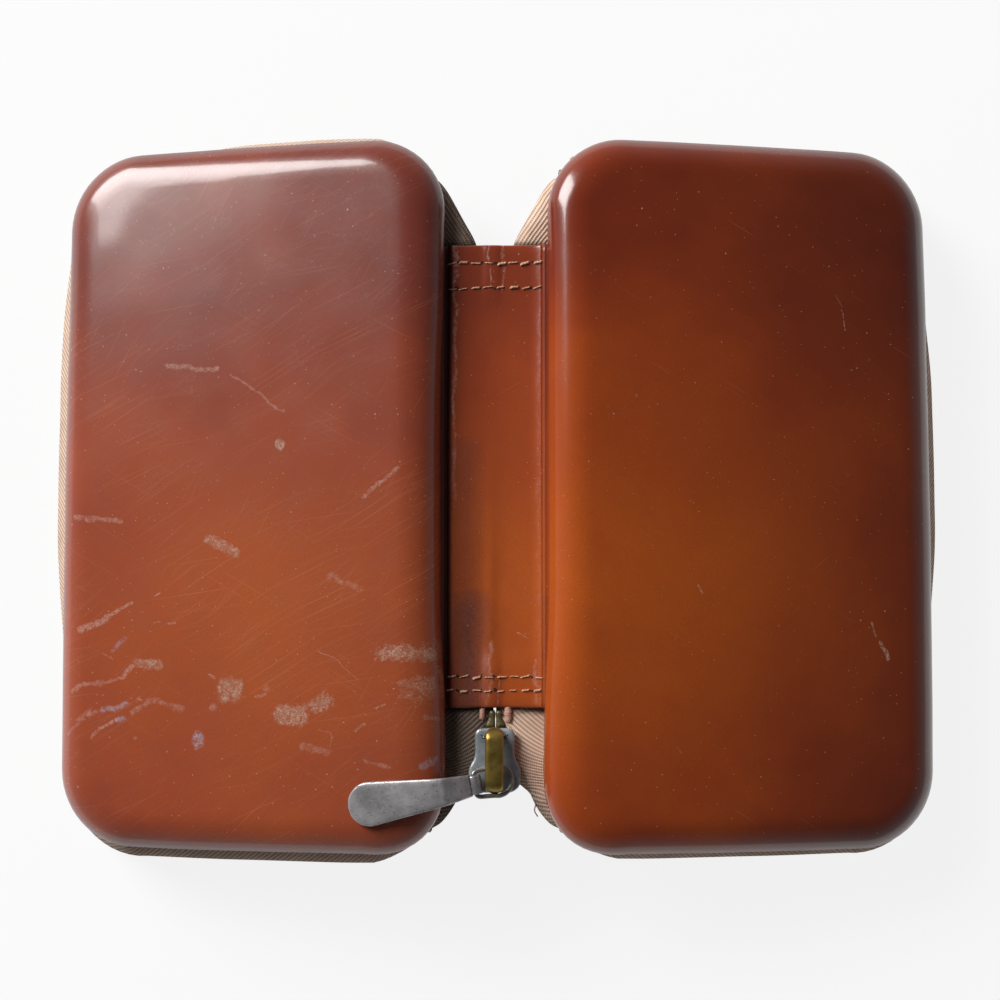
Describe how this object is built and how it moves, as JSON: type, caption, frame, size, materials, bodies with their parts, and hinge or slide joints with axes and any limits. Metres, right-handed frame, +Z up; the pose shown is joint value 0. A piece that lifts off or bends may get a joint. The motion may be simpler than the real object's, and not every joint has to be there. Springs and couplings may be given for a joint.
{
  "type": "manicure set case",
  "caption": "Vintage brown leather zip case for a manicure set, lying open with its outside up; two moulded trays fold about a leather spine, with tool loops inside.",
  "frame": {"origin": "on the table, under the middle of the open case's box, midway between the two fold lines", "axes": "+X across both halves, from the half that the pull lies on to the other; +Y along the spine, away from the slider; +Z up, out of the leather outside of the open case"},
  "size_m": [0.1768, 0.1466, 0.0366],
  "materials": {
    "cover_leather": "smooth polished brown hide, scuffed and scratched",
    "board": "pressed fibre board",
    "lining": "thin smooth brown skiver leather",
    "strap_leather": "smooth brown strap leather with dark edges",
    "pad_cloth": "short brushed pile",
    "zip_tape": "beige herringbone cotton tape",
    "zip_metal": "dull aged brass",
    "slider_metal": "dull grey plated zinc, worn",
    "bridge_brass": "dull brass, tarnished at the edges",
    "pull_metal": "grey nickel plate, pitted, bright on its rim",
    "thread": "waxed tan linen thread"
  },
  "bodies": {
    "spine": {"spine_leather": "cover_leather", "spine_lining": "lining", "left_tape_ends": "zip_tape", "right_tape_ends": "zip_tape", "head_seam_outer": "thread", "head_seam_inner": "thread", "foot_seam_outer": "thread", "foot_seam_inner": "thread", "foot_stops": "zip_metal", "head_stop": "zip_metal", "closed_chain": "zip_metal"},
    "left_half": {"left_cover": "cover_leather", "left_board": "board", "left_lining": "lining", "left_rim_band": "strap_leather", "left_zip_tape": "zip_tape", "left_zip_teeth": "zip_metal", "left_tool_pad": "pad_cloth", "left_upper_strap": "strap_leather", "left_lower_strap": "strap_leather", "left_strap_stitches": "thread"},
    "right_half": {"right_cover": "cover_leather", "right_board": "board", "right_lining": "lining", "right_rim_band": "strap_leather", "right_zip_tape": "zip_tape", "right_zip_teeth": "zip_metal", "right_tool_pad": "pad_cloth", "right_upper_strap": "strap_leather", "right_lower_strap": "strap_leather", "right_strap_stitches": "thread"},
    "slider": {"slider_body": "slider_metal", "slider_bridge": "bridge_brass"},
    "ring": {"pull_ring": "pull_metal"},
    "tab": {"pull_tab": "pull_metal"}
  },
  "joints": [
    {"name": "left_fold", "type": "hinge", "parent": "spine", "child": "left_half", "pos_m": [-0.0095, 0, 0.02708], "axis": [0, -1, 0], "range_deg": [0, 78]},
    {"name": "right_fold", "type": "hinge", "parent": "spine", "child": "right_half", "pos_m": [0.0095, 0, 0.02708], "axis": [0, 1, 0], "range_deg": [0, 78]},
    {"name": "slider_travel", "type": "slide", "parent": "spine", "child": "slider", "axis": [0, -1, 0], "range_m": [0, 0.0045]},
    {"name": "ring_swivel", "type": "hinge", "parent": "slider", "child": "ring", "pos_m": [0, -0.05765, 0.02993], "axis": [0, 0, 1], "range_deg": [-3, 6]},
    {"name": "tab_lift", "type": "hinge", "parent": "ring", "child": "tab", "pos_m": [-0.00377, -0.05656, 0.03094], "axis": [-0.1736, 0.9848, 0], "range_deg": [0, 95]}
  ]
}
